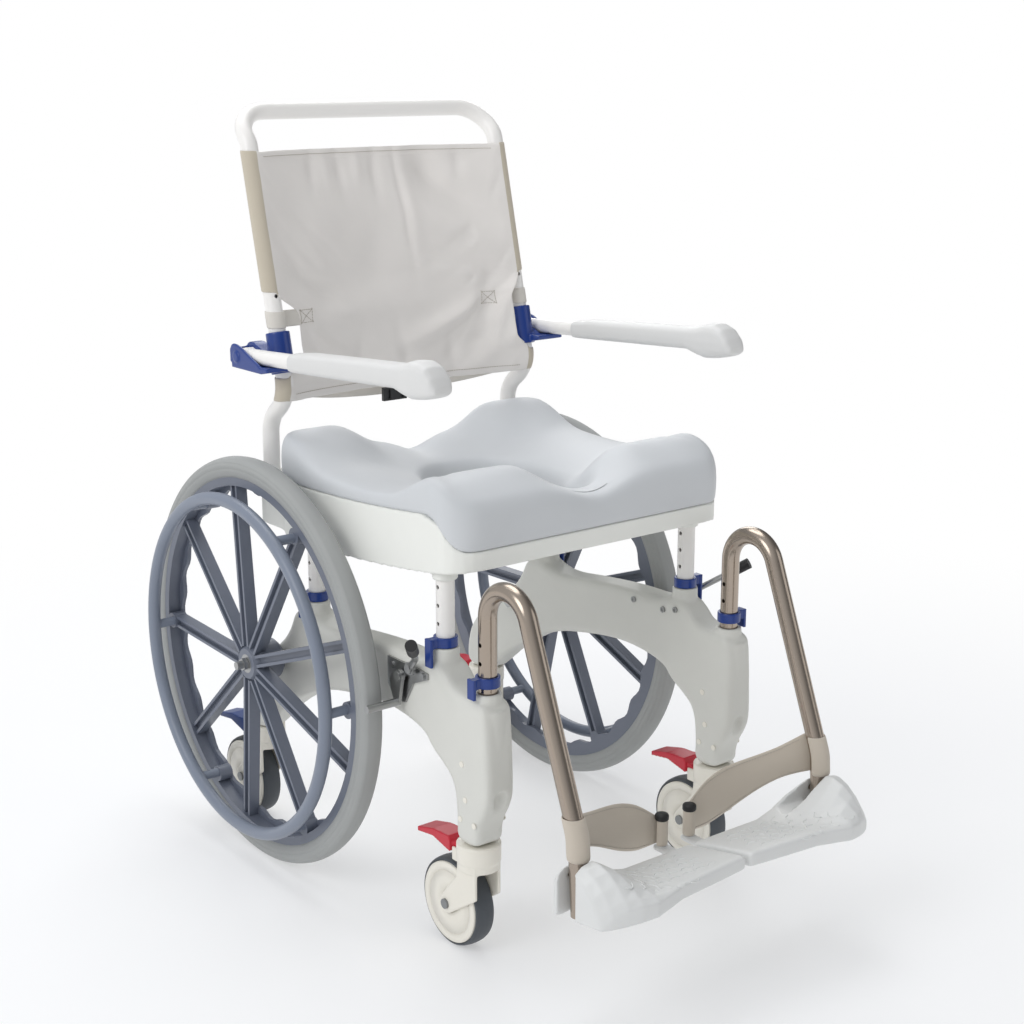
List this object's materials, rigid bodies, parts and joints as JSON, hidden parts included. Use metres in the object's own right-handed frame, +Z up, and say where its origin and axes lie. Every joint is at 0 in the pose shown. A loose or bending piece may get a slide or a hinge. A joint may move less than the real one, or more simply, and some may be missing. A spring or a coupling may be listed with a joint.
{
  "type": "self-propelled shower commode chair",
  "caption": "Wheeled shower commode chair with moulded side frames, open padded seat, sling back, flip-up arms, swing-away leg rests, spoked drive wheels and braked castors.",
  "frame": {"origin": "on the floor under the middle of the whole chair", "axes": "+Z up, the sitter faces -Y, the sitter's left is +X"},
  "size_m": [0.665, 1.062, 1.1055],
  "materials": {
    "frame_plastic": "rotomoulded polyethylene, satin with a fine grain",
    "screw_steel": "stainless fittings",
    "grip_rubber": "ribbed black grip",
    "rim_plastic": "moulded composite, satin",
    "tyre_grey": "grey solid tyre",
    "handrim_plastic": "moulded composite, satin",
    "castor_plastic": "moulded nylon, satin",
    "castor_core": "moulded nylon, satin",
    "castor_tyre": "dark grey rubber",
    "castor_bolt": "grey metal cap",
    "pedal_red": "moulded, satin, ribbed",
    "pedal_blue": "moulded, satin, ribbed",
    "tray_plastic": "moulded, satin",
    "pad_foam": "integral skin polyurethane foam",
    "white_tube": "powder coated, smooth",
    "clip_blue": "moulded, satin",
    "sling_fabric": "coated woven polyester",
    "strap_webbing": "woven webbing",
    "buckle_black": "moulded acetal",
    "arm_foam": "integral skin polyurethane foam",
    "tube_steel": "brushed stainless steel",
    "footplate_plastic": "moulded, satin, with tread marks",
    "heel_webbing": "coated fabric, stitched edges"
  },
  "bodies": {
    "frame": {"side_frame_right": "frame_plastic", "side_frame_left": "frame_plastic", "frame_screws": "screw_steel", "wheel_axles": "screw_steel", "brake_plates": "screw_steel"},
    "wheel_right": {"wheel_rim_right": "rim_plastic", "wheel_tyre_right": "tyre_grey", "handrim_right": "handrim_plastic", "hub_bearings_right": "screw_steel"},
    "brake_lever_right": {"brake_lever_right": "screw_steel", "brake_grip_right": "grip_rubber"},
    "brake_bar_right": {"brake_bar_right": "screw_steel"},
    "wheel_left": {"wheel_rim_left": "rim_plastic", "wheel_tyre_left": "tyre_grey", "handrim_left": "handrim_plastic", "hub_bearings_left": "screw_steel"},
    "brake_lever_left": {"brake_lever_left": "screw_steel", "brake_grip_left": "grip_rubber"},
    "brake_bar_left": {"brake_bar_left": "screw_steel"},
    "castor_front_right": {"castor_fork_front_right": "castor_plastic", "castor_axle_front_right": "castor_bolt"},
    "roller_front_right": {"castor_wheel_front_right": "castor_core", "castor_tyre_front_right": "castor_tyre"},
    "pedal_front_right": {"castor_pedal_front_right": "pedal_red"},
    "castor_front_left": {"castor_fork_front_left": "castor_plastic", "castor_axle_front_left": "castor_bolt"},
    "roller_front_left": {"castor_wheel_front_left": "castor_core", "castor_tyre_front_left": "castor_tyre"},
    "pedal_front_left": {"castor_pedal_front_left": "pedal_red"},
    "castor_rear_right": {"castor_fork_rear_right": "castor_plastic", "castor_axle_rear_right": "castor_bolt"},
    "roller_rear_right": {"castor_wheel_rear_right": "castor_core", "castor_tyre_rear_right": "castor_tyre"},
    "pedal_rear_right": {"castor_pedal_rear_right": "pedal_blue"},
    "castor_rear_left": {"castor_fork_rear_left": "castor_plastic", "castor_axle_rear_left": "castor_bolt"},
    "roller_rear_left": {"castor_wheel_rear_left": "castor_core", "castor_tyre_rear_left": "castor_tyre"},
    "pedal_rear_left": {"castor_pedal_rear_left": "pedal_red"},
    "seat": {"seat_shell": "tray_plastic", "seat_pad": "pad_foam", "seat_tubes": "white_tube", "seat_clips": "clip_blue", "back_tube": "white_tube", "back_fabric": "sling_fabric", "back_strap": "strap_webbing", "strap_buckle": "buckle_black", "arm_brackets": "clip_blue"},
    "arm_right": {"arm_beam_right": "white_tube", "arm_pad_right": "arm_foam"},
    "legrest_right": {"hanger_right": "tube_steel", "hanger_clip_right": "clip_blue"},
    "plate_right": {"footplate_right": "footplate_plastic", "heel_strap_right": "heel_webbing"},
    "arm_left": {"arm_beam_left": "white_tube", "arm_pad_left": "arm_foam"},
    "legrest_left": {"hanger_left": "tube_steel", "hanger_clip_left": "clip_blue"},
    "plate_left": {"footplate_left": "footplate_plastic", "heel_strap_left": "heel_webbing"}
  },
  "joints": [
    {"name": "wheel_spin_right", "type": "hinge", "parent": "frame", "child": "wheel_right", "pos_m": [-0.278, 0.226, 0.305], "axis": [1, 0, 0], "continuous": true},
    {"name": "brake_lever_right", "type": "hinge", "parent": "frame", "child": "brake_lever_right", "pos_m": [-0.251, -0.123, 0.384], "axis": [1, 0, 0], "range_deg": [0, 36]},
    {"name": "brake_bar_right", "type": "hinge", "parent": "frame", "child": "brake_bar_right", "pos_m": [-0.251, -0.098, 0.367], "axis": [1, 0, 0], "range_deg": [0, 12]},
    {"name": "wheel_spin_left", "type": "hinge", "parent": "frame", "child": "wheel_left", "pos_m": [0.278, 0.226, 0.305], "axis": [1, 0, 0], "continuous": true},
    {"name": "brake_lever_left", "type": "hinge", "parent": "frame", "child": "brake_lever_left", "pos_m": [0.251, -0.123, 0.384], "axis": [1, 0, 0], "range_deg": [0, 36]},
    {"name": "brake_bar_left", "type": "hinge", "parent": "frame", "child": "brake_bar_left", "pos_m": [0.251, -0.098, 0.367], "axis": [1, 0, 0], "range_deg": [0, 12]},
    {"name": "castor_swivel_front_right", "type": "hinge", "parent": "frame", "child": "castor_front_right", "pos_m": [-0.217, -0.227, 0.165], "axis": [0, 0, -1], "continuous": true},
    {"name": "castor_roll_front_right", "type": "hinge", "parent": "castor_front_right", "child": "roller_front_right", "pos_m": [-0.217, -0.181, 0.0625], "axis": [1, 0, 0], "continuous": true},
    {"name": "castor_pedal_front_right", "type": "hinge", "parent": "castor_front_right", "child": "pedal_front_right", "pos_m": [-0.217, -0.191, 0.141], "axis": [-1, 0, 0], "range_deg": [0, 10]},
    {"name": "castor_swivel_front_left", "type": "hinge", "parent": "frame", "child": "castor_front_left", "pos_m": [0.217, -0.227, 0.165], "axis": [0, 0, 1], "continuous": true},
    {"name": "castor_roll_front_left", "type": "hinge", "parent": "castor_front_left", "child": "roller_front_left", "pos_m": [0.217, -0.181, 0.0625], "axis": [1, 0, 0], "continuous": true},
    {"name": "castor_pedal_front_left", "type": "hinge", "parent": "castor_front_left", "child": "pedal_front_left", "pos_m": [0.217, -0.191, 0.141], "axis": [-1, 0, 0], "range_deg": [0, 10]},
    {"name": "castor_swivel_rear_right", "type": "hinge", "parent": "frame", "child": "castor_rear_right", "pos_m": [-0.217, 0.324, 0.165], "axis": [0, 0, -1], "range_deg": [-12, 192]},
    {"name": "castor_roll_rear_right", "type": "hinge", "parent": "castor_rear_right", "child": "roller_rear_right", "pos_m": [-0.217, 0.37, 0.0625], "axis": [1, 0, 0], "continuous": true},
    {"name": "castor_pedal_rear_right", "type": "hinge", "parent": "castor_rear_right", "child": "pedal_rear_right", "pos_m": [-0.217, 0.36, 0.141], "axis": [-1, 0, 0], "range_deg": [0, 10]},
    {"name": "castor_swivel_rear_left", "type": "hinge", "parent": "frame", "child": "castor_rear_left", "pos_m": [0.217, 0.324, 0.165], "axis": [0, 0, 1], "range_deg": [-12, 192]},
    {"name": "castor_roll_rear_left", "type": "hinge", "parent": "castor_rear_left", "child": "roller_rear_left", "pos_m": [0.217, 0.37, 0.0625], "axis": [1, 0, 0], "continuous": true},
    {"name": "castor_pedal_rear_left", "type": "hinge", "parent": "castor_rear_left", "child": "pedal_rear_left", "pos_m": [0.217, 0.36, 0.141], "axis": [-1, 0, 0], "range_deg": [0, 10]},
    {"name": "seat_height", "type": "slide", "parent": "frame", "child": "seat", "axis": [0, 0, 1], "range_m": [0, 0.05]},
    {"name": "arm_flip_right", "type": "hinge", "parent": "seat", "child": "arm_right", "pos_m": [-0.254, 0.276, 0.751], "axis": [-1, 0, 0], "range_deg": [0, 95]},
    {"name": "legrest_swing_right", "type": "hinge", "parent": "frame", "child": "legrest_right", "pos_m": [-0.217, -0.248, 0.38], "axis": [0, 0, -1], "range_deg": [0, 90]},
    {"name": "plate_flip_right", "type": "hinge", "parent": "legrest_right", "child": "plate_right", "pos_m": [-0.217, -0.43174, 0.19], "axis": [0, -1, 0], "range_deg": [0, 82], "deforming": ["heel_strap_right"]},
    {"name": "arm_flip_left", "type": "hinge", "parent": "seat", "child": "arm_left", "pos_m": [0.254, 0.276, 0.751], "axis": [-1, 0, 0], "range_deg": [0, 95]},
    {"name": "legrest_swing_left", "type": "hinge", "parent": "frame", "child": "legrest_left", "pos_m": [0.217, -0.248, 0.38], "axis": [0, 0, 1], "range_deg": [0, 90]},
    {"name": "plate_flip_left", "type": "hinge", "parent": "legrest_left", "child": "plate_left", "pos_m": [0.217, -0.43174, 0.19], "axis": [0, 1, 0], "range_deg": [0, 82], "deforming": ["heel_strap_left"]}
  ],
  "couplings": [
    {"joint": "brake_bar_right", "follows": "brake_lever_right", "ratio": 0.3333},
    {"joint": "brake_bar_left", "follows": "brake_lever_left", "ratio": 0.3333}
  ]
}
